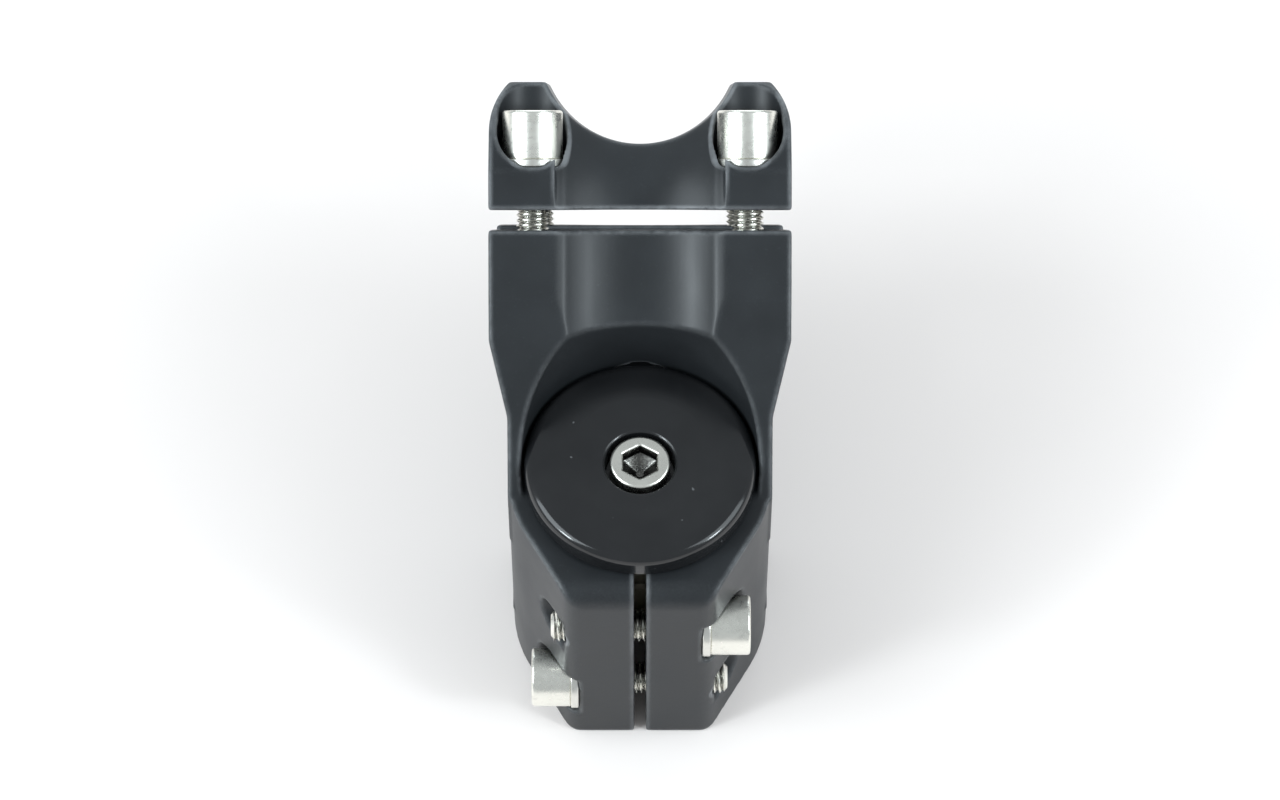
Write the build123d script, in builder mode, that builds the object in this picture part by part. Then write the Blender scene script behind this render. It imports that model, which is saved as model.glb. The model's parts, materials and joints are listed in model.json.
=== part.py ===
from build123d import *
from math import cos, sin, radians, sqrt
import os

# Threadless handlebar stem for a 31.8 mm bar and a 28.6 mm steerer, with a four-bolt faceplate.
# Origin: steerer axis at the bottom face of the steerer clamp.  +Z runs up the steerer,
# +Y forward to the bar, X along the bar.  Millimetres.

# --- driving dimensions -------------------------------------------------------------------
BAR_R = 15.9
STEERER_R = 14.3
REACH = 50.0
RISE = 35.0
AXIS_Z = 20.0

# steerer clamp, and the pocket between the arms that the top cap sits in
CLAMP_H = 42.0
CLAMP_R = 19.8
POCKET_R = 17.75
RELIEF_R = 14.9
LAND = 11.0

# bar clamp and arms, in the bar's frame: distance along the extension, height above it
WIDTH = 45.0
LUG_TOP = 24.2
LUG_FLAT_END = -10.8
BODY_FACE = -0.5
PLATE_FACE = 2.5
BAR_RELIEF = 0.25
BAR_LAND_START = 14.2
TAPER_START = -17.0
TAPER_END = -28.5
ARM_REAR_Y = -4.0
ARM_FOOT = ((-4.0, 3.0), (14.0, 1.5))
CHANNEL_R = 17.35
CHANNEL_FLOOR = 19.6
CHANNEL_HALF = 11.2
CHANNEL_RIM = 12.6
BARREL_R = 19.6
CAVITY_R = 10.5
SIDE_RELIEF_H = 20.0
SIDE_RELIEF_END = -3.0
LUG_THREAD = 15.5

# faceplate: its front is turned about the bar, and scooped out between the bolt columns
PLATE_R = 25.6
PLATE_FRONT = 21.6
SCOOP_R = 15.3
SCOOP_BACK = 12.3
CORNER = ((22.5, 14.0), (21.6, 18.6), (19.6, 21.6))

# bolts of the faceplate
BOLT_X = 16.0
BOLT_N = 18.9
M5_R = 2.45
M5_HOLE_R = 2.5
SEAT = 8.9
POCKET_BOLT_R = 5.1
MOUTH_R = 5.3
MOUTH_BACK = 8.95
HEAD_R = 4.5
HEAD_H = 7.2
WASHER_H = 1.2
WASHER_R = 4.75
SHANK_L = 20.5
SOCKET_AF = 4.0

# pinch bolts and the two ears they draw together
PINCH_Y = -17.5
PINCH_BOLTS = (("upper", 27.5, 1), ("lower", 11.0, -1))
PINCH_SEAT = 9.4
PINCH_HEAD_R = 4.5
PINCH_HEAD_H = 6.0
PINCH_SHANK_L = 24.0
PINCH_POCKET_R = 5.2
PINCH_TAIL_R = 4.0
PINCH_TAIL = 11.4
EAR_REAR = -21.2
EAR_HALF = 10.7
EAR_ROUND = 3.0
EAR_TOP_ROUND = 3.2
EAR_ANGLE = 30.0
SLOT_W = 1.8

# top cap and its bolt
CAP_R = 17.3
CAP_H = 4.6
CAP_BOSS_R = 10.5
CAP_BOSS_H = 2.0
CAP_SEAT = 0.2
CAP_EDGE = 1.6
CAP_FOOT_CHAMFER = 0.6
DISH_R = 11.0
DISH_DEPTH = 0.7
CAP_HEAD_R = 4.5
CAP_HEAD_H = 4.0
CAP_HEAD_GAP = 0.75
M6_R = 2.95
M6_HOLE_R = 3.0
CAP_SHANK_L = 29.0
CAP_SOCKET_AF = 5.0

# star nut
NUT_CORE_R = 6.0
NUT_Z = 13.5
NUT_H = 11.0
NUT_NECK_R = 4.4
NUT_LEAF_Z = 2.0
NUT_RING_R = 7.5
NUT_LEAF_R = 11.9
NUT_LEAF_T = 0.9
NUT_LEAF_GAP = 6.0
NUT_BARBS = 8
NUT_BARB_W = 4.2

# small allowances
HOLE_GAP = 0.15
WASHER_GAP = 0.1
BOLT_CHAMFER = 0.3
WASHER_CHAMFER = 0.25
SOCKET_SHARE = 0.55
OVER = 1.0
PAST = 60.0

# --- derived planes -------------------------------------------------------------------------
ALONG = (0, cos(radians(RISE)), sin(radians(RISE)))
UP = (0, -sin(radians(RISE)), cos(radians(RISE)))
BAR = (0, REACH * ALONG[1], AXIS_Z + REACH * ALONG[2])

side_plane = Plane(origin=BAR, x_dir=ALONG, z_dir=(1, 0, 0))
top_plane = Plane(origin=BAR, x_dir=(1, 0, 0), z_dir=UP)
HALF = WIDTH / 2
CHANNEL_EDGE = CHANNEL_FLOOR + CHANNEL_R - sqrt(CHANNEL_R ** 2 - CHANNEL_HALF ** 2)


def along_plane(distance, x=0.0, height=0.0):
    """Plane facing forward along the extension, its centre at this place in the bar's frame."""
    centre = [BAR[i] + distance * ALONG[i] + height * UP[i] for i in range(3)]
    return Plane(origin=(centre[0] + x, centre[1], centre[2]), x_dir=(-1, 0, 0), z_dir=ALONG)


def side_point(distance, height):
    """(Y, Z) of a point given in the bar's frame."""
    return tuple(BAR[i] + distance * ALONG[i] + height * UP[i] for i in (1, 2))


def channel_outline(top):
    """Closed section of a channel in x and height: arced floor, sloped rims, and walls to above top."""
    rim = (CHANNEL_RIM, LUG_TOP)
    wall = (CHANNEL_RIM, top + OVER)
    ThreePointArc((-CHANNEL_HALF, CHANNEL_EDGE), (0, CHANNEL_FLOOR), (CHANNEL_HALF, CHANNEL_EDGE))
    Polyline((CHANNEL_HALF, CHANNEL_EDGE), rim, wall, (-wall[0], wall[1]), (-rim[0], rim[1]),
             (-CHANNEL_HALF, CHANNEL_EDGE))


def side_x_plane(x, z, facing):
    """Plane facing sideways at the pinch bolts."""
    return Plane(origin=(x, PINCH_Y, z), x_dir=(0, 1, 0), z_dir=(facing, 0, 0))


LUG_CORNERS = [(x, n) for n in (BOLT_N, -BOLT_N) for x in (-BOLT_X, BOLT_X)]

# --- stem body ------------------------------------------------------------------------------
# Upper and lower arms: a side outline, kept inside a plan outline that narrows to the clamp.
with BuildPart() as arms:
    with BuildSketch(Plane.YZ) as arm_side:
        with BuildLine():
            Polyline(
                side_point(BODY_FACE, LUG_TOP),
                side_point(LUG_FLAT_END, LUG_TOP),
                (ARM_REAR_Y, CLAMP_H),
                *ARM_FOOT,
                side_point(LUG_FLAT_END, -LUG_TOP),
                side_point(BODY_FACE, -LUG_TOP),
                close=True,
            )
        make_face()
    extrude(amount=HALF, both=True)
    with BuildSketch(top_plane) as arm_plan:
        with BuildLine():
            Polyline(
                (0, 0),
                (HALF, 0),
                (HALF, TAPER_START),
                (CLAMP_R, TAPER_END),
                (CLAMP_R, -PAST),
                (0, -PAST),
                close=True,
            )
        make_face()
        mirror(about=Plane.YZ)
    extrude(amount=PAST, both=True, mode=Mode.INTERSECT)

with BuildPart() as stem_body:
    add(arms.part)
    # concave channels along the extension, above and below, that leave the arms proud
    with BuildSketch(along_plane(0)) as channels:
        with BuildLine():
            channel_outline(LUG_TOP)
        make_face()
        mirror(about=Plane.XZ)
    extrude(amount=-2 * REACH, mode=Mode.SUBTRACT)
    # side reliefs between the upper and lower arms
    with BuildSketch(side_plane) as side_relief:
        with Locations((SIDE_RELIEF_END - PAST / 2, 0)):
            RectangleRounded(PAST, SIDE_RELIEF_H, 0.45 * SIDE_RELIEF_H)
    extrude(amount=PAST, both=True, mode=Mode.SUBTRACT)
    # extension barrel and the half ring round the bar
    with BuildSketch(along_plane(BODY_FACE)):
        Circle(BARREL_R)
    extrude(amount=-(REACH + BODY_FACE))
    with BuildSketch(side_plane):
        Circle(BARREL_R)
        with Locations((BODY_FACE + PAST / 2, 0)):
            Rectangle(PAST, PAST, mode=Mode.SUBTRACT)
    extrude(amount=HALF, both=True)

    # steerer clamp: a tube with two ears behind it, and their flanks tangent to the tube
    with BuildSketch() as clamp_plan:
        Circle(CLAMP_R)
        with BuildLine():
            Polyline(
                (0, 0),
                (CLAMP_R * cos(radians(EAR_ANGLE)), -CLAMP_R * sin(radians(EAR_ANGLE))),
                (EAR_HALF, EAR_REAR),
                (0, EAR_REAR),
                close=True,
            )
        make_face()
        mirror(about=Plane.YZ)
        fillet(clamp_plan.vertices().filter_by(lambda v: v.Y < EAR_REAR + 1 and abs(v.X) > 1),
               EAR_ROUND)
    extrude(amount=CLAMP_H)
    # nothing of the arms reaches behind the clamp or below its foot
    with BuildSketch(Plane.XY.offset(CLAMP_H)):
        Circle(POCKET_R)
        with Locations((0, ARM_REAR_Y - PAST / 2)):
            Rectangle(PAST, PAST)
    extrude(amount=PAST, mode=Mode.SUBTRACT)
    with BuildSketch():
        Rectangle(2 * PAST, 4 * PAST)
    extrude(amount=-PAST, mode=Mode.SUBTRACT)
    # the ears' upper rear edge is rounded over
    with BuildSketch(Plane.YZ):
        with BuildLine():
            ThreePointArc(
                (EAR_REAR + EAR_TOP_ROUND, CLAMP_H),
                (EAR_REAR + EAR_TOP_ROUND * (1 - sin(radians(45))),
                 CLAMP_H - EAR_TOP_ROUND * (1 - cos(radians(45)))),
                (EAR_REAR, CLAMP_H - EAR_TOP_ROUND),
            )
            Polyline(
                (EAR_REAR, CLAMP_H - EAR_TOP_ROUND),
                (EAR_REAR - OVER, CLAMP_H - EAR_TOP_ROUND),
                (EAR_REAR - OVER, CLAMP_H + OVER),
                (EAR_REAR + EAR_TOP_ROUND, CLAMP_H + OVER),
                (EAR_REAR + EAR_TOP_ROUND, CLAMP_H),
            )
        make_face()
    extrude(amount=PAST, both=True, mode=Mode.SUBTRACT)
    # bar seat: two clamping lands with a shallow relief between them
    with BuildSketch(side_plane):
        Circle(BAR_R)
    extrude(amount=HALF + OVER, both=True, mode=Mode.SUBTRACT)
    with BuildSketch(side_plane):
        Circle(BAR_R + BAR_RELIEF)
    extrude(amount=BAR_LAND_START, both=True, mode=Mode.SUBTRACT)
    # steerer bore: two lands with a relief between them
    with BuildSketch():
        Circle(STEERER_R)
    extrude(amount=CLAMP_H + OVER, mode=Mode.SUBTRACT)
    with BuildSketch(Plane.XY.offset(LAND)):
        Circle(RELIEF_R)
    extrude(amount=CLAMP_H - 2 * LAND, mode=Mode.SUBTRACT)
    # lightening cavity from the bar seat into the steerer relief
    with BuildSketch(along_plane(0)):
        Circle(CAVITY_R)
    extrude(amount=-(REACH + ARM_REAR_Y), mode=Mode.SUBTRACT)
    # faceplate bolt holes
    for x, n in LUG_CORNERS:
        with BuildSketch(along_plane(BODY_FACE, x, n)):
            Circle(M5_HOLE_R)
        extrude(amount=-LUG_THREAD, mode=Mode.SUBTRACT)
    # pinch slot
    with BuildSketch():
        with Locations((0, -CLAMP_R)):
            Rectangle(SLOT_W, CLAMP_R)
    extrude(amount=CLAMP_H, mode=Mode.SUBTRACT)
    # pinch bolts, staggered: the upper head is on +X, the lower on -X
    for name, z, side in PINCH_BOLTS:
        with BuildSketch(side_x_plane(-PAST / 2, z, 1)):
            Circle(M5_HOLE_R)
        extrude(amount=PAST, mode=Mode.SUBTRACT)
        recesses = ((PINCH_SEAT, PINCH_POCKET_R, side), (PINCH_TAIL, PINCH_TAIL_R, -side))
        for start, radius, facing in recesses:
            with BuildSketch(side_x_plane(facing * start, z, facing)):
                Circle(radius)
                with Locations((-PINCH_POCKET_R, 0)):
                    Rectangle(2 * PINCH_POCKET_R, 2 * radius)
            extrude(amount=PAST, mode=Mode.SUBTRACT)


# --- faceplate --------------------------------------------------------------------------------
with BuildPart() as faceplate:
    # side outline, with its corners rounded in plan
    with BuildSketch(side_plane):
        Circle(PLATE_R)
        with Locations(((PLATE_FACE + PLATE_FRONT) / 2, 0)):
            Rectangle(PLATE_FRONT - PLATE_FACE, 2 * LUG_TOP, mode=Mode.INTERSECT)
    extrude(amount=HALF, both=True)
    with BuildSketch(top_plane):
        with BuildLine():
            Polyline((0, PLATE_FRONT), (0, 0), (HALF, 0), CORNER[0])
            ThreePointArc(*CORNER)
            Line(CORNER[-1], (0, PLATE_FRONT))
        make_face()
        mirror(about=Plane.YZ)
    extrude(amount=PAST, both=True, mode=Mode.INTERSECT)
    # groove turned about the bar, in line with the body's channels
    with BuildSketch(top_plane):
        with BuildLine():
            channel_outline(PLATE_R)
        make_face()
    revolve(axis=Axis(BAR, (1, 0, 0)), mode=Mode.SUBTRACT)
    # scoop between the bolt columns, which bares the bar
    with BuildSketch(top_plane):
        with Locations((0, SCOOP_BACK + SCOOP_R)):
            Circle(SCOOP_R)
    extrude(amount=PAST, both=True, mode=Mode.SUBTRACT)
    # bar seat with its relief
    with BuildSketch(side_plane):
        Circle(BAR_R)
    extrude(amount=HALF + OVER, both=True, mode=Mode.SUBTRACT)
    with BuildSketch(side_plane):
        Circle(BAR_R + BAR_RELIEF)
    extrude(amount=BAR_LAND_START, both=True, mode=Mode.SUBTRACT)
    # bolt holes, counterbores, and their open mouths above and below
    for x, n in LUG_CORNERS:
        with BuildSketch(along_plane(0, x, n)):
            Circle(M5_HOLE_R + HOLE_GAP)
        extrude(amount=PAST, mode=Mode.SUBTRACT)
        with BuildSketch(along_plane(SEAT, x, n)):
            Circle(POCKET_BOLT_R)
        extrude(amount=PAST, mode=Mode.SUBTRACT)
        with BuildSketch(top_plane.offset(n)):
            with Locations((x, MOUTH_BACK + MOUTH_R)):
                Circle(MOUTH_R)
        extrude(amount=PAST if n > 0 else -PAST, mode=Mode.SUBTRACT)


def end_edges(part, plane, which):
    """Circular edges at the end of a turned part, along its axis: 0 is the lowest, -1 the highest."""
    def height(edge):
        return (Vector(*edge.center()) - plane.origin).dot(plane.z_dir)
    return part.edges().filter_by(GeomType.CIRCLE).group_by(height)[which]


def bolt(head_plane, head_r, head_h, shank_r, shank_l, socket_af):
    """Socket-head cap screw whose under-head face lies on head_plane, its head along +z."""
    with BuildPart() as screw:
        with BuildSketch(head_plane):
            Circle(head_r)
        extrude(amount=head_h)
        chamfer(end_edges(screw, head_plane, -1), length=BOLT_CHAMFER)
        with BuildSketch(head_plane):
            Circle(shank_r)
        extrude(amount=-shank_l)
        chamfer(end_edges(screw, head_plane, 0), length=BOLT_CHAMFER)
        with BuildSketch(head_plane.offset(head_h)):
            RegularPolygon(socket_af / 2, 6, major_radius=False)
        extrude(amount=-SOCKET_SHARE * head_h, mode=Mode.SUBTRACT)
    return screw.part


def washer(plane, outer_r, hole_r, thickness):
    """Flat washer lying on a plane."""
    with BuildPart() as ring:
        with BuildSketch(plane):
            Circle(outer_r)
            Circle(hole_r, mode=Mode.SUBTRACT)
        extrude(amount=thickness)
        outer = ring.edges().filter_by(GeomType.CIRCLE).group_by(SortBy.RADIUS)[-1]
        chamfer(outer, length=WASHER_CHAMFER)
    return ring.part


# --- fasteners of the faceplate ---------------------------------------------------------------
pieces = {"stem_body": stem_body.part, "faceplate": faceplate.part}
for (x, n) in LUG_CORNERS:
    corner = ("upper" if n > 0 else "lower") + ("_right" if x > 0 else "_left")
    pieces["faceplate_washer_" + corner] = washer(
        along_plane(SEAT, x, n), WASHER_R, M5_HOLE_R + WASHER_GAP, WASHER_H)
    pieces["faceplate_bolt_" + corner] = bolt(
        along_plane(SEAT + WASHER_H, x, n), HEAD_R, HEAD_H, M5_R, SHANK_L, SOCKET_AF)

# --- pinch bolts ------------------------------------------------------------------------------
for name, z, side in PINCH_BOLTS:
    pieces["pinch_washer_" + name] = washer(
        side_x_plane(side * PINCH_SEAT, z, side), WASHER_R, M5_HOLE_R + WASHER_GAP, WASHER_H)
    pieces["pinch_bolt_" + name] = bolt(
        side_x_plane(side * (PINCH_SEAT + WASHER_H), z, side),
        PINCH_HEAD_R, PINCH_HEAD_H, M5_R, PINCH_SHANK_L, SOCKET_AF)

# --- top cap, its bolt and the star nut ---------------------------------------------------------
CAP_TOP = CLAMP_H + CAP_H
with BuildPart() as top_cap:
    with BuildSketch(Plane.XZ):
        with BuildLine():
            Polyline(
                (0, CLAMP_H),
                (CAP_R - CAP_FOOT_CHAMFER, CLAMP_H),
                (CAP_R, CLAMP_H + CAP_FOOT_CHAMFER),
                (CAP_R, CAP_TOP - CAP_EDGE),
            )
            TangentArc((CAP_R, CAP_TOP - CAP_EDGE), (CAP_R - CAP_EDGE, CAP_TOP), tangent=(0, 1))
            Line((CAP_R - CAP_EDGE, CAP_TOP), (DISH_R, CAP_TOP))
            TangentArc((DISH_R, CAP_TOP), (0, CAP_TOP - DISH_DEPTH), tangent=(-1, -2 * DISH_DEPTH / DISH_R))
            Line((0, CAP_TOP - DISH_DEPTH), (0, CLAMP_H))
        make_face()
    revolve(axis=Axis.Z)
    with BuildSketch(Plane.XY.offset(CLAMP_H)):
        Circle(CAP_BOSS_R)
    extrude(amount=-CAP_BOSS_H)
    with BuildSketch(Plane.XY.offset(CLAMP_H - CAP_BOSS_H)):
        Circle(M6_HOLE_R + HOLE_GAP)
    extrude(amount=PAST, mode=Mode.SUBTRACT)
    with BuildSketch(Plane.XY.offset(CLAMP_H + CAP_SEAT)):
        Circle(CAP_HEAD_R + CAP_HEAD_GAP)
    extrude(amount=PAST, mode=Mode.SUBTRACT)
pieces["top_cap"] = top_cap.part
pieces["top_cap_bolt"] = bolt(
    Plane.XY.offset(CLAMP_H + CAP_SEAT), CAP_HEAD_R, CAP_HEAD_H, M6_R, CAP_SHANK_L, CAP_SOCKET_AF)

with BuildPart() as star_nut_core:
    with BuildSketch(Plane.XY.offset(NUT_Z)):
        RegularPolygon(NUT_CORE_R, 6)
    extrude(amount=NUT_H)
    for z in (NUT_Z + NUT_LEAF_Z, NUT_Z + NUT_LEAF_Z + NUT_LEAF_GAP):
        with BuildSketch(Plane.XY.offset(z)):
            Circle(NUT_CORE_R)
            Circle(NUT_NECK_R, mode=Mode.SUBTRACT)
        extrude(amount=NUT_LEAF_T, mode=Mode.SUBTRACT)
    with BuildSketch(Plane.XY.offset(NUT_Z)):
        Circle(M6_HOLE_R)
    extrude(amount=NUT_H, mode=Mode.SUBTRACT)
pieces["star_nut_core"] = star_nut_core.part


def leaf(z, turn):
    """Spring-steel star leaf: a ring with barbs all round."""
    with BuildPart() as star:
        with BuildSketch(Plane.XY.offset(z)):
            Circle(NUT_RING_R)
            with PolarLocations(0, NUT_BARBS, start_angle=turn):
                with Locations((NUT_RING_R, 0)):
                    Rectangle(2 * (NUT_LEAF_R - NUT_RING_R), NUT_BARB_W)
            Circle(NUT_NECK_R, mode=Mode.SUBTRACT)
        extrude(amount=NUT_LEAF_T)
    return star.part


pieces["star_nut_lower_leaf"] = leaf(NUT_Z + NUT_LEAF_Z, 0)
pieces["star_nut_upper_leaf"] = leaf(NUT_Z + NUT_LEAF_Z + NUT_LEAF_GAP, 180 / NUT_BARBS)

os.makedirs("parts", exist_ok=True)
for name, piece in pieces.items():
    piece.label = name
    export_step(piece, "parts/" + name + ".step")
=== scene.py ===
import json
import math

import bmesh
import bpy
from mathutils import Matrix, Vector


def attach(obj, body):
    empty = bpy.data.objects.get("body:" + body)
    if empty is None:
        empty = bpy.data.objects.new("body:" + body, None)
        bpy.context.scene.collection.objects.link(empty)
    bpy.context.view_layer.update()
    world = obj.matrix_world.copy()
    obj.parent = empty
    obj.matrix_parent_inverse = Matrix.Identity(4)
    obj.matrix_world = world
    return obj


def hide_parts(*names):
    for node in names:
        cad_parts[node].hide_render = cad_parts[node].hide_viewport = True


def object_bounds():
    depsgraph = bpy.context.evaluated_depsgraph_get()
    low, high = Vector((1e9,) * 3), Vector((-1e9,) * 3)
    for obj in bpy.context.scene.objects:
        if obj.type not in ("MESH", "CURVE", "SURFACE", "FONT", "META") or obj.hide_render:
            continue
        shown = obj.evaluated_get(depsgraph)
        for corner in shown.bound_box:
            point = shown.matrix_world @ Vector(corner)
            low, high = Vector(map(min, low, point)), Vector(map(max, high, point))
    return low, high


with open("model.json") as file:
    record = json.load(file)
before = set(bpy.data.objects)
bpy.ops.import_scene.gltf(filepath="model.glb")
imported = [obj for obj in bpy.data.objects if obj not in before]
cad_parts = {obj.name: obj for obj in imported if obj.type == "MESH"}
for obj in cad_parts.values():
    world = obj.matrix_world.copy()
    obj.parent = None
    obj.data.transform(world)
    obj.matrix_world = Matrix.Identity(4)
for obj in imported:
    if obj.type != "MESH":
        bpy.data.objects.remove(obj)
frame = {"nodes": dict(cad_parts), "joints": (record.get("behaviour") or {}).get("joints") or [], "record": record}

# Handlebar stem: a forged and painted black body and faceplate, bright plated bolts and washers,
# a dished black cap and a star nut.  Metres, in the frame's own axes.
MM = 0.001
CAD_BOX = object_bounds()
NODES = frame["nodes"]
JOINTS = {j["name"]: j for j in frame["joints"]}
BODY_OF = {node: body for body, nodes in frame["record"]["behaviour"]["bodies"].items() for node in nodes}
scene = bpy.context.scene


# --- node helpers ---------------------------------------------------------------------------
class Graph:
    """A material's node tree, with short calls for the nodes used here."""

    def __init__(self, name):
        self.material = bpy.data.materials.new(name)
        self.material.use_nodes = True
        self.tree = self.material.node_tree
        self.shader = self.tree.nodes["Principled BSDF"]
        self.place = self.tree.nodes.new("ShaderNodeTexCoord").outputs["Object"]

    def node(self, kind, **settings):
        made = self.tree.nodes.new(kind)
        for key, value in settings.items():
            setattr(made, key, value)
        return made

    def link(self, source, target):
        self.tree.links.new(source, target)

    def noise(self, scale, detail=3.0, roughness=0.5):
        made = self.node("ShaderNodeTexNoise")
        self.link(self.place, made.inputs["Vector"])
        made.inputs["Scale"].default_value = scale
        made.inputs["Detail"].default_value = detail
        made.inputs["Roughness"].default_value = roughness
        return made.outputs["Fac"]

    def ramp(self, source, low, high, start=0.0, end=1.0):
        """Maps source from low..high to start..end, clamped."""
        made = self.node("ShaderNodeMapRange", clamp=True)
        self.link(source, made.inputs["Value"])
        for socket, value in (("From Min", low), ("From Max", high), ("To Min", start), ("To Max", end)):
            made.inputs[socket].default_value = value
        return made.outputs["Result"]

    def maths(self, operation, a, b=None):
        made = self.node("ShaderNodeMath", operation=operation)
        for socket, value in zip(made.inputs, (a, b)):
            if value is None:
                continue
            if isinstance(value, (int, float)):
                socket.default_value = value
            else:
                self.link(value, socket)
        return made.outputs[0]

    def mix(self, factor, a, b):
        made = self.node("ShaderNodeMix", data_type="RGBA")
        self.link(factor, made.inputs["Factor"])
        for socket, value in ((made.inputs[6], a), (made.inputs[7], b)):
            if isinstance(value, tuple):
                socket.default_value = (*value, 1.0)
            else:
                self.link(value, socket)
        return made.outputs[2]

    def bump(self, height, strength, distance, normal=None):
        made = self.node("ShaderNodeBump")
        made.inputs["Strength"].default_value = strength
        made.inputs["Distance"].default_value = distance
        self.link(height, made.inputs["Height"])
        if normal is not None:
            self.link(normal, made.inputs["Normal"])
        return made.outputs["Normal"]

    def closeness(self, reach, inside):
        """How much of the piece's own skin is near: in its crevices, or inside its convex edges."""
        made = self.node("ShaderNodeAmbientOcclusion", only_local=True, inside=inside, samples=4)
        made.inputs["Distance"].default_value = reach
        return self.maths("SUBTRACT", 1.0, made.outputs["AO"])

    def axis_distance(self):
        """Distance from the steerer's axis."""
        split = self.node("ShaderNodeSeparateXYZ")
        self.link(self.place, split.inputs["Vector"])
        squares = [self.maths("POWER", split.outputs[name], 2.0) for name in ("X", "Y")]
        return self.maths("SQRT", self.maths("ADD", *squares))

    def set(self, socket, value):
        target = self.shader.inputs[socket]
        if isinstance(value, (int, float)):
            target.default_value = value
        elif isinstance(value, tuple):
            target.default_value = (*value, 1.0)
        else:
            self.link(value, target)


# --- materials ------------------------------------------------------------------------------
PAINT_TONE = (0.0182, 0.0205, 0.0230)
# Light grey for convex paint edges: partly rubbed paint, partly a painted highlight.
RUBBED_EDGE_AND_HIGHLIGHT = (0.235, 0.245, 0.255)
EDGE_REACH = 0.8 * MM
CAP_DARK, CAP_LIGHT = (0.007, 0.0075, 0.0085), (0.012, 0.0125, 0.0135)
CAP_RIM_START, CAP_RIM_END = 14.0 * MM, 15.2 * MM
DUST = (0.16, 0.165, 0.17)
PIT_GRIME = (0.22, 0.20, 0.18)
# Dark colour painted as shade into the hex socket and the thread grooves.
SOCKET_PAINTED_SHADE = (0.035, 0.034, 0.034)
PAINTED_SHADE_REACH = 6.5 * MM


def toned(tone, factor):
    """A colour made lighter or darker by a factor."""
    return tuple(factor * c for c in tone)


def painted_black(name, tone, rough, wear_and_highlight):
    """Satin black finish on forged aluminium: fine orange peel, faint mottling, and lighter convex edges that are
    partly rubbed paint and partly a painted highlight.
    """
    g = Graph(name)
    mottle = g.noise(90.0, 4.0)
    grain = g.noise(2600.0, 3.0, 0.6)
    smudge = g.noise(38.0, 2.0)
    base = g.mix(g.ramp(mottle, 0.35, 0.65), toned(tone, 0.86), toned(tone, 1.12))
    speck = g.ramp(g.noise(1900.0, 2.0, 0.7), 0.62, 0.75)
    base = g.mix(g.maths("MULTIPLY", speck, 0.25), base, toned(tone, 2.2))
    # Convex edges get the light grey: partly rubbed paint, partly a painted highlight where the rounded edges
    # would catch the lamps.
    edge = g.ramp(g.closeness(EDGE_REACH, True), 0.07, 0.26)
    patchy = g.ramp(g.noise(260.0, 5.0, 0.65), 0.30, 0.58, 0.35, 1.0)
    rubbed_and_highlight_mask = g.maths("MULTIPLY", g.maths("MULTIPLY", edge, patchy), wear_and_highlight)
    g.set("Base Color", g.mix(rubbed_and_highlight_mask, base, RUBBED_EDGE_AND_HIGHLIGHT))
    g.set("Roughness", g.ramp(g.maths("ADD", mottle, smudge), 0.7, 1.3, rough - 0.05, rough + 0.07))
    g.set("Metallic", 0.0)
    g.set("Specular IOR Level", 0.30)
    g.set("Coat Weight", 0.05)
    g.set("Coat Roughness", 0.22)
    peel = g.bump(g.noise(700.0, 2.0), 0.10, 0.00008)
    g.set("Normal", g.bump(grain, 0.16, 0.00004, peel))
    return g.material


def anodised_cap(name):
    """Turned and anodised cap: fine rings round the axis, a polished rim and a few dust specks."""
    g = Graph(name)
    rings = g.node("ShaderNodeTexWave", wave_type="RINGS", rings_direction="Z", wave_profile="SIN")
    g.link(g.place, rings.inputs["Vector"])
    rings.inputs["Scale"].default_value = 1400.0
    rings.inputs["Distortion"].default_value = 0.6
    rings.inputs["Detail"].default_value = 2.0
    mottle = g.noise(120.0, 3.0)
    base = g.mix(g.ramp(mottle, 0.3, 0.7), CAP_DARK, CAP_LIGHT)
    dust = g.ramp(g.noise(560.0, 2.0, 0.6), 0.735, 0.77)
    g.set("Base Color", g.mix(g.maths("MULTIPLY", dust, 0.6), base, DUST))
    satin = g.ramp(g.noise(55.0, 3.0), 0.3, 0.7, 0.19, 0.27)
    polish = g.ramp(g.axis_distance(), CAP_RIM_START, CAP_RIM_END, 1.0, 0.55)
    g.set("Roughness", g.maths("MULTIPLY", satin, polish))
    g.set("Specular IOR Level", 0.5)
    fine = g.bump(g.noise(2400.0, 2.0), 0.08, 0.00002)
    g.set("Normal", g.bump(rings.outputs["Fac"], 0.04, 0.00002, fine))
    return g.material


def plated_steel(name, tone, rough, grime):
    """Bright plating with a faint haze, grimy pits, and painted shade down in the hex socket and the thread
    grooves.
    """
    g = Graph(name)
    spots = g.ramp(g.noise(900.0, 4.0, 0.65), 0.58, 0.74)
    haze = g.noise(220.0, 3.0)
    base = g.mix(g.ramp(haze, 0.35, 0.65), toned(tone, 0.93), tone)
    base = g.mix(g.maths("MULTIPLY", spots, grime), base, PIT_GRIME)
    # Painted shade: the socket and the thread grooves go dark where the bolt's own skin closes in.
    painted_shade = g.ramp(g.closeness(PAINTED_SHADE_REACH, False), 0.30, 0.52)
    g.set("Base Color", g.mix(painted_shade, base, SOCKET_PAINTED_SHADE))
    g.set("Metallic", 1.0)
    polish = g.maths("ADD", haze, g.noise(1500.0, 2.0))
    g.set("Roughness", g.ramp(polish, 0.7, 1.3, rough - 0.04, rough + 0.08))
    g.set("Normal", g.bump(g.noise(3000.0, 2.0, 0.6), 0.08, 0.00003))
    return g.material


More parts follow.
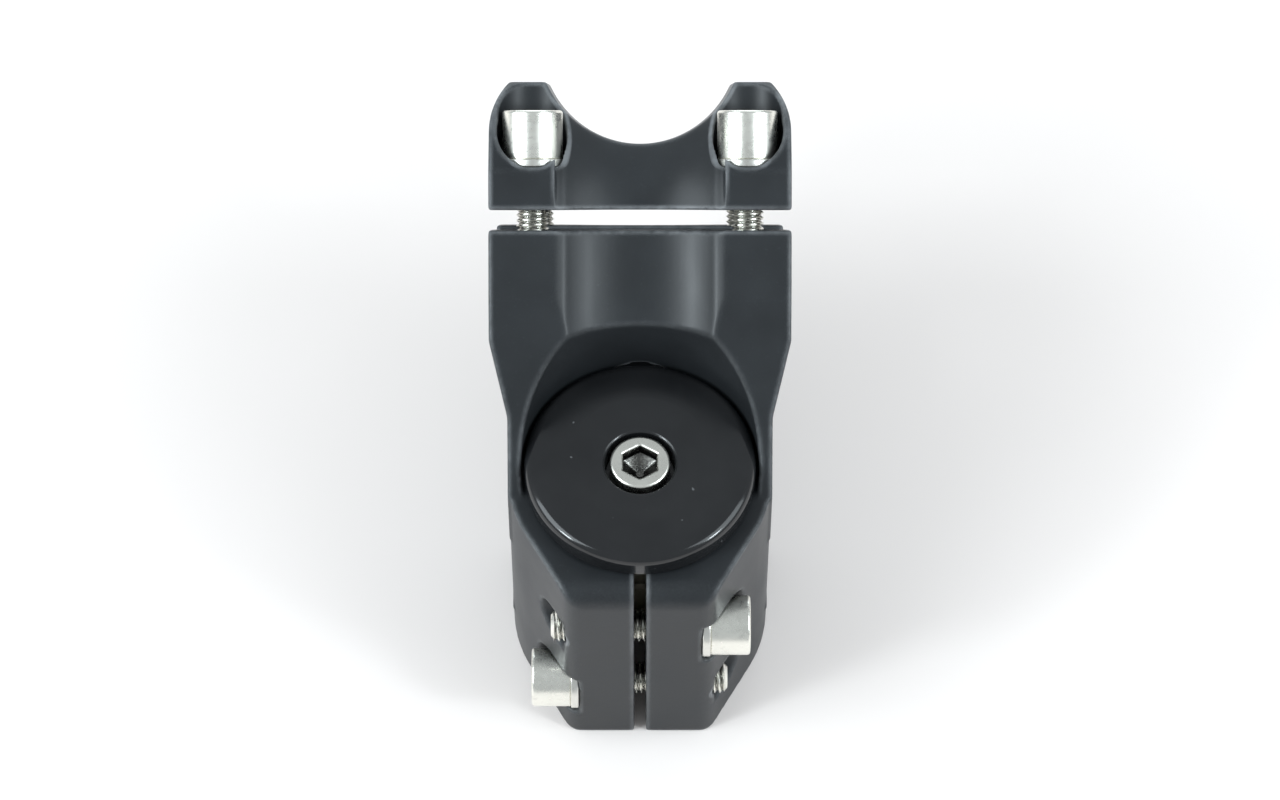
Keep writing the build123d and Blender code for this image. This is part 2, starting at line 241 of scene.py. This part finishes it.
BODY_PAINT = painted_black("satin_black_body", PAINT_TONE, 0.40, 0.60)
PLATE_PAINT = painted_black("satin_black_faceplate", PAINT_TONE, 0.39, 0.70)
CAP_FINISH = anodised_cap("anodised_black_cap")
BOLT_STEEL = plated_steel("plated_bolt_steel", (0.88, 0.87, 0.80), 0.27, 0.20)
WASHER_STEEL = plated_steel("plated_washer_steel", (0.79, 0.78, 0.73), 0.31, 0.30)
NUT_STEEL = plated_steel("zinc_spring_steel", (0.60, 0.58, 0.50), 0.36, 0.50)


def finish_piece(piece, body, material):
    piece.data.materials.clear()
    piece.data.materials.append(material)
    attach(piece, body)


# --- mesh helpers ---------------------------------------------------------------------------
def new_object(name, mesh):
    made = bpy.data.objects.new(name, mesh)
    scene.collection.objects.link(made)
    return made


def rings_to_mesh(name, rings, closed_ends=True):
    """A closed skin through rings of equal point counts, each a list of vectors."""
    mesh = bmesh.new()
    rows = [[mesh.verts.new(p) for p in ring] for ring in rings]
    count = len(rows[0])
    for row, after in zip(rows, rows[1:]):
        for i in range(count):
            mesh.faces.new((row[i], row[(i + 1) % count], after[(i + 1) % count], after[i]))
    if closed_ends:
        for row, flip in ((rows[0], True), (rows[-1], False)):
            centre = mesh.verts.new(sum((v.co for v in row), Vector()) / count)
            for i in range(count):
                pair = (row[i], row[(i + 1) % count])
                mesh.faces.new((pair[1], pair[0], centre) if flip else (pair[0], pair[1], centre))
    else:
        for i in range(count):
            a, b = rows[-1], rows[0]
            mesh.faces.new((a[i], a[(i + 1) % count], b[(i + 1) % count], b[i]))
    bmesh.ops.recalc_face_normals(mesh, faces=mesh.faces)
    data = bpy.data.meshes.new(name)
    mesh.to_mesh(data)
    mesh.free()
    for polygon in data.polygons:
        polygon.use_smooth = True
    return new_object(name, data)


def frame_of(axis):
    """Two unit vectors that make a right-handed set with the axis."""
    axis = Vector(axis).normalized()
    first = Vector((1, 0, 0)) if abs(axis.x) < 0.9 else Vector((0, 1, 0))
    u = (first - axis * first.dot(axis)).normalized()
    return u, axis.cross(u), axis


def measured(node, point, axis):
    """(along, radius) of each vertex of a CAD node about an axis."""
    axis, point = Vector(axis).normalized(), Vector(point)
    pairs = []
    for vertex in NODES[node].data.vertices:
        offset = vertex.co - point
        along = offset.dot(axis)
        pairs.append((along, (offset - axis * along).length))
    return pairs


def hexagon(radius, angle):
    """Radius of a hexagon of that inner radius at an angle."""
    return radius / math.cos((angle + math.pi / 6) % (math.pi / 3) - math.pi / 6)


def profile_ring(name, point, axis, outline, segments):
    """A closed ring turned about an axis from an outline of (along, radius) points."""
    point = Vector(point)
    u, v, w = frame_of(axis)
    angles = [2 * math.pi * i / segments for i in range(segments)]
    rings = [[point + w * t + (u * math.cos(a) + v * math.sin(a)) * r for a in angles]
             for t, r in outline]
    return rings_to_mesh(name, rings, closed_ends=False)


def rounded(outline, radius, steps):
    """An outline of (along, radius) points with each corner rounded by that radius, where it fits."""
    result = []
    count = len(outline)
    for i in range(count):
        before, corner, after = Vector(outline[i - 1]), Vector(outline[i]), Vector(outline[(i + 1) % count])
        first, second = before - corner, after - corner
        reach = min(radius, 0.45 * first.length, 0.45 * second.length)
        a, b = corner + first.normalized() * reach, corner + second.normalized() * reach
        for step in range(steps + 1):
            t = step / steps
            point = a * (1 - t) ** 2 + corner * 2 * t * (1 - t) + b * t ** 2
            result.append((point.x, point.y))
    return result


def crisp_shading(piece, degrees):
    """Smooth shading that breaks at edges sharper than this."""
    data = piece.data
    mesh = bmesh.new()
    mesh.from_mesh(data)
    limit = math.radians(degrees)
    for edge in mesh.edges:
        edge.smooth = len(edge.link_faces) != 2 or edge.calc_face_angle(0) < limit
    mesh.to_mesh(data)
    mesh.free()


# --- bolts, washers and cap -----------------------------------------------------------------
BOLT_SEGMENTS, WASHER_SEGMENTS, CAP_SEGMENTS = 48, 64, 128
BOLT_CRISP, WASHER_CRISP, CAP_CRISP = 35, 40, 45
QUARTER_TURN = math.pi / 2
HEAD_EDGE = 0.47 * MM
HEAD_EDGE_STEPS = 6
UNDER_HEAD = 0.15 * MM
SOCKET_DEPTH_SHARE = 0.55
SOCKET_MOUTH_SHARE = 1.27
DRILL_DEPTH_SHARE, DRILL_TIP_SHARE = 0.28, 0.12
THREAD_DEPTH_SHARE = 0.54
THREAD_STEPS = 8
THREAD_END = 0.5 * MM
TIP_CHAMFER = 0.35 * MM
WASHER_EDGE = 0.22 * MM
WASHER_EDGE_STEPS = 5
WASHER_INSET = 0.01 * MM
CAP_RIM = 1.5 * MM
CAP_STEPS = 8
CAP_DISH_SHARE = 0.68
CAP_CHAMFER = 0.35 * MM
CAP_CORNER = 0.15 * MM


def socket_bolt(node, joint, pitch, socket_af, thread_start):
    """Socket-head screw with a real helical thread, on the CAD bolt's own axis and lengths."""
    point, axis = Vector(JOINTS[joint]["pos_m"]), JOINTS[joint]["axis"]
    u, v, w = frame_of(axis)
    pairs = measured(node, point, w)
    head_r = max(r for _, r in pairs)
    top = max(t for t, _ in pairs)
    tip = min(t for t, _ in pairs)
    seat = min(t for t, r in pairs if r > 0.9 * head_r)
    shank_r = max(r for t, r in pairs if t < seat - 0.3 * MM)
    core_r = shank_r - THREAD_DEPTH_SHARE * pitch
    angles = [2 * math.pi * i / BOLT_SEGMENTS for i in range(BOLT_SEGMENTS)]

    def ring(along, radius):
        return [point + w * along + (u * math.cos(a) + v * math.sin(a)) *
                (radius(a) if callable(radius) else radius) for a in angles]

    def hexed(scale):
        return lambda a: scale * hexagon(socket_af / 2, a)

    floor = top - SOCKET_DEPTH_SHARE * (top - seat)
    mouth = SOCKET_MOUTH_SHARE * socket_af / 2
    rings = [ring(floor - DRILL_DEPTH_SHARE * socket_af, DRILL_TIP_SHARE * socket_af),
             ring(floor, hexed(0.97)),
             ring(floor + 0.1 * MM, hexed(1.0)),
             ring(top - 0.35 * MM, hexed(1.0)),
             ring(top - 0.22 * MM, hexed(1.02)),
             ring(top - 0.08 * MM, hexed(1.07)),
             ring(top - 0.02 * MM, hexed(1.11)),
             ring(top, mouth),
             ring(top, head_r - 1.5 * HEAD_EDGE)]
    for step in range(HEAD_EDGE_STEPS + 1):
        bend = QUARTER_TURN * step / HEAD_EDGE_STEPS
        drop, inset = HEAD_EDGE * (1 - math.cos(bend)), HEAD_EDGE * (1 - math.sin(bend))
        rings.append(ring(top - drop, head_r - inset))
    rings += [ring(seat + 2 * UNDER_HEAD, head_r),
              ring(seat + UNDER_HEAD, head_r),
              ring(seat, head_r - UNDER_HEAD),
              ring(seat, shank_r + UNDER_HEAD),
              ring(seat - UNDER_HEAD, shank_r)]
    start = seat - thread_start
    rings.append(ring(start + 0.3 * pitch, shank_r))
    steps = int(round((start - tip - THREAD_END) / (pitch / THREAD_STEPS)))
    for step in range(steps + 1):
        along = start - step * pitch / THREAD_STEPS
        fade = min(1.0, step / THREAD_STEPS)

        def threaded(a, along=along, fade=fade):
            phase = (along / pitch - a / (2 * math.pi)) % 1.0
            tooth = min(1.0, max(0.0, 1.35 * (1 - abs(2 * phase - 1)) - 0.12))
            return shank_r - (shank_r - core_r) * fade * (1 - tooth)

        rings.append(ring(along, threaded))
    rings += [ring(tip + TIP_CHAMFER, core_r), ring(tip, core_r - TIP_CHAMFER)]
    piece = rings_to_mesh(node + "_piece", rings)
    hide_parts(node)
    finish_piece(piece, BODY_OF[node], BOLT_STEEL)
    crisp_shading(piece, BOLT_CRISP)


def washer_ring(node, point, axis):
    """Flat washer with rounded outer edges and a chamfered hole, a hair inside the CAD washer."""
    pairs = measured(node, point, axis)
    low, high = min(t for t, _ in pairs), max(t for t, _ in pairs)
    outer, inner = max(r for _, r in pairs) - WASHER_INSET, min(r for _, r in pairs)
    edge = WASHER_EDGE
    outline = [(low, inner + edge / 2), (low, outer - edge)]
    for step in range(1, WASHER_EDGE_STEPS + 1):
        bend = QUARTER_TURN * step / WASHER_EDGE_STEPS
        outline.append((low + edge - edge * math.cos(bend), outer - edge + edge * math.sin(bend)))
    for step in range(WASHER_EDGE_STEPS + 1):
        bend = QUARTER_TURN * step / WASHER_EDGE_STEPS
        outline.append((high - edge + edge * math.sin(bend), outer - edge + edge * math.cos(bend)))
    outline += [(high, inner + edge), (high - edge / 2, inner), (low + edge / 2, inner)]
    piece = profile_ring(node + "_piece", point, axis, outline, WASHER_SEGMENTS)
    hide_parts(node)
    finish_piece(piece, BODY_OF[node], WASHER_STEEL)
    crisp_shading(piece, WASHER_CRISP)


def dished_cap():
    """Top cap: a turned disc with a rounded rim, a shallow dish and a chamfered counterbore."""
    axis = (0, 0, 1)
    pairs = measured("top_cap", (0, 0, 0), axis)
    low, high = min(t for t, _ in pairs), max(t for t, _ in pairs)
    radius, hole = max(r for _, r in pairs), min(r for _, r in pairs)
    foot = min(t for t, r in pairs if r > 0.95 * radius)
    boss = max(r for t, r in pairs if t < foot - 0.5 * MM)
    well = min(r for t, r in pairs if t > foot + 0.5 * MM and r > hole + 0.5 * MM)
    seat = min(t for t, r in pairs if abs(r - well) < 0.1 * MM)
    dish_floor = max(t for t, r in pairs if abs(r - well) < 0.1 * MM)
    dish = CAP_DISH_SHARE * radius
    outline = [(low, hole), (low, boss), (foot, boss), (foot, radius - 0.5 * MM), (foot + 0.6 * MM, radius)]
    for step in range(CAP_STEPS + 1):
        bend = QUARTER_TURN * step / CAP_STEPS
        drop, inset = CAP_RIM * (1 - math.sin(bend)), CAP_RIM * (1 - math.cos(bend))
        outline.append((high - drop, radius - inset))
    for step in range(1, CAP_STEPS + 1):
        bend = QUARTER_TURN * step / CAP_STEPS
        across = dish + (well + CAP_CHAMFER - dish) * step / CAP_STEPS
        outline.append((high - (high - dish_floor) * math.sin(bend) ** 2, across))
    outline += [(dish_floor - CAP_CHAMFER, well), (seat, well), (seat, hole)]
    outline = rounded(outline, CAP_CORNER, 3)
    piece = profile_ring("top_cap_piece", (0, 0, 0), axis, outline, CAP_SEGMENTS)
    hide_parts("top_cap")
    finish_piece(piece, "top_cap", CAP_FINISH)
    crisp_shading(piece, CAP_CRISP)


M5_PITCH, M6_PITCH = 0.8 * MM, 1.0 * MM
M5_KEY, M6_KEY = 4.0 * MM, 5.0 * MM
PLATE_SHANK, PINCH_SHANK, CAP_SHANK = 4.0 * MM, 7.0 * MM, 10.0 * MM
CORNERS = [row + side for row in ("upper_", "lower_") for side in ("left", "right")]
for corner in CORNERS:
    turn = "faceplate_bolt_" + corner + "_turn"
    socket_bolt("faceplate_bolt_" + corner, turn, M5_PITCH, M5_KEY, PLATE_SHANK)
    washer_ring("faceplate_washer_" + corner, JOINTS[turn]["pos_m"], JOINTS[turn]["axis"])
for level in ("upper", "lower"):
    turn = "pinch_bolt_" + level + "_turn"
    socket_bolt("pinch_bolt_" + level, turn, M5_PITCH, M5_KEY, PINCH_SHANK)
    washer_ring("pinch_washer_" + level, JOINTS[turn]["pos_m"], JOINTS[turn]["axis"])
socket_bolt("top_cap_bolt", "top_cap_bolt_turn", M6_PITCH, M6_KEY, CAP_SHANK)


# --- forged and stamped parts: rounded edges on the CAD shape -----------------------------------
SEAM_GAP = 0.002 * MM
STAMPED_EDGE = 0.12 * MM
STAMPED_ANGLE = 40


def forged(node, material, voxel, passes):
    """Rounds every edge of a CAD part a little, as forging, tumbling and paint leave it."""
    part = NODES[node]
    part.data.materials.clear()
    part.data.materials.append(material)
    seams = part.modifiers.new("joined_seams", "WELD")
    seams.merge_threshold = SEAM_GAP
    remesh = part.modifiers.new("even_skin", "REMESH")
    remesh.mode = "VOXEL"
    remesh.voxel_size = voxel
    remesh.use_smooth_shade = True
    smooth = part.modifiers.new("worn_edges", "SMOOTH")
    smooth.factor = 0.5
    smooth.iterations = passes


forged("stem_body", BODY_PAINT, 0.30 * MM, 12)
forged("faceplate", PLATE_PAINT, 0.20 * MM, 18)
dished_cap()
for node in ("star_nut_core", "star_nut_lower_leaf", "star_nut_upper_leaf"):
    NODES[node].data.materials.clear()
    NODES[node].data.materials.append(NUT_STEEL)
    stamped = NODES[node].modifiers.new("stamped_edges", "BEVEL")
    stamped.width = STAMPED_EDGE
    stamped.segments = 2
    stamped.limit_method = "ANGLE"
    stamped.angle_limit = math.radians(STAMPED_ANGLE)


# --- floor, light and camera --------------------------------------------------------------------
FLOOR_HALF = 3.0
FLOOR_DARK, FLOOR_LIGHT = (0.855, 0.790, 0.758), (0.875, 0.810, 0.778)
LIGHT_TINT = (0.86, 0.95, 1.0)
BOX_SIZE, FRONT_SIZE, LAMP_SIZE = (0.55, 0.55), (0.8, 0.4), (0.11, 0.11)
LAMP_POWER = 1.2


def pale_floor():
    mesh = bpy.data.meshes.new("floor")
    half = FLOOR_HALF
    corners = [(-half, -half, 0), (half, -half, 0), (half, half, 0), (-half, half, 0)]
    mesh.from_pydata(corners, [], [(0, 1, 2, 3)])
    floor = new_object("floor", mesh)
    g = Graph("pale_floor")
    g.set("Base Color", g.mix(g.noise(3.0), FLOOR_DARK, FLOOR_LIGHT))
    g.set("Roughness", 0.8)
    mesh.materials.append(g.material)


def area_light(name, place, target, size, power):
    data = bpy.data.lights.new(name, "AREA")
    data.color = LIGHT_TINT
    data.shape = "RECTANGLE"
    data.size, data.size_y = size
    data.energy = power
    lamp = bpy.data.objects.new(name, data)
    scene.collection.objects.link(lamp)
    lamp.location = place
    lamp.rotation_euler = (Vector(target) - Vector(place)).to_track_quat("-Z", "Y").to_euler()


pale_floor()
CENTRE = (CAD_BOX[0] + CAD_BOX[1]) / 2
area_light("left_box", (-0.60, -0.14, 0.52), CENTRE, BOX_SIZE, 4.4)
area_light("right_box", (0.60, -0.14, 0.52), CENTRE, BOX_SIZE, 3.0)
area_light("front_box", (0.0, 0.85, 0.35), CENTRE, FRONT_SIZE, 3.0)
area_light("left_lamp", (-0.56, -0.28, 0.39), CENTRE, LAMP_SIZE, LAMP_POWER)
area_light("right_lamp", (0.56, -0.28, 0.39), CENTRE, LAMP_SIZE, LAMP_POWER)

world = bpy.data.worlds.new("studio")
scene.world = world
world.use_nodes = True
background = world.node_tree.nodes["Background"]
background.inputs["Color"].default_value = (0.90, 0.96, 1.0, 1.0)
background.inputs["Strength"].default_value = 0.55
scene.view_settings.view_transform = "Standard"

# The eye stands above and behind the steerer, on the stem's middle plane, and looks forward and down.
EYE = Vector((0.0, -0.3488, 0.6284))
LOOK = math.radians(31.7)
FOCAL_MM = 128.0
SENSOR_MM = 36.0
camera_data = bpy.data.cameras.new("camera")
camera = bpy.data.objects.new("camera", camera_data)
scene.collection.objects.link(camera)
camera.location = EYE
sight = Vector((0.0, math.sin(LOOK), -math.cos(LOOK)))
camera.rotation_euler = sight.to_track_quat("-Z", "Y").to_euler()
camera_data.sensor_width = SENSOR_MM
camera_data.lens = FOCAL_MM
camera_data.clip_start = 0.01
scene.camera = camera
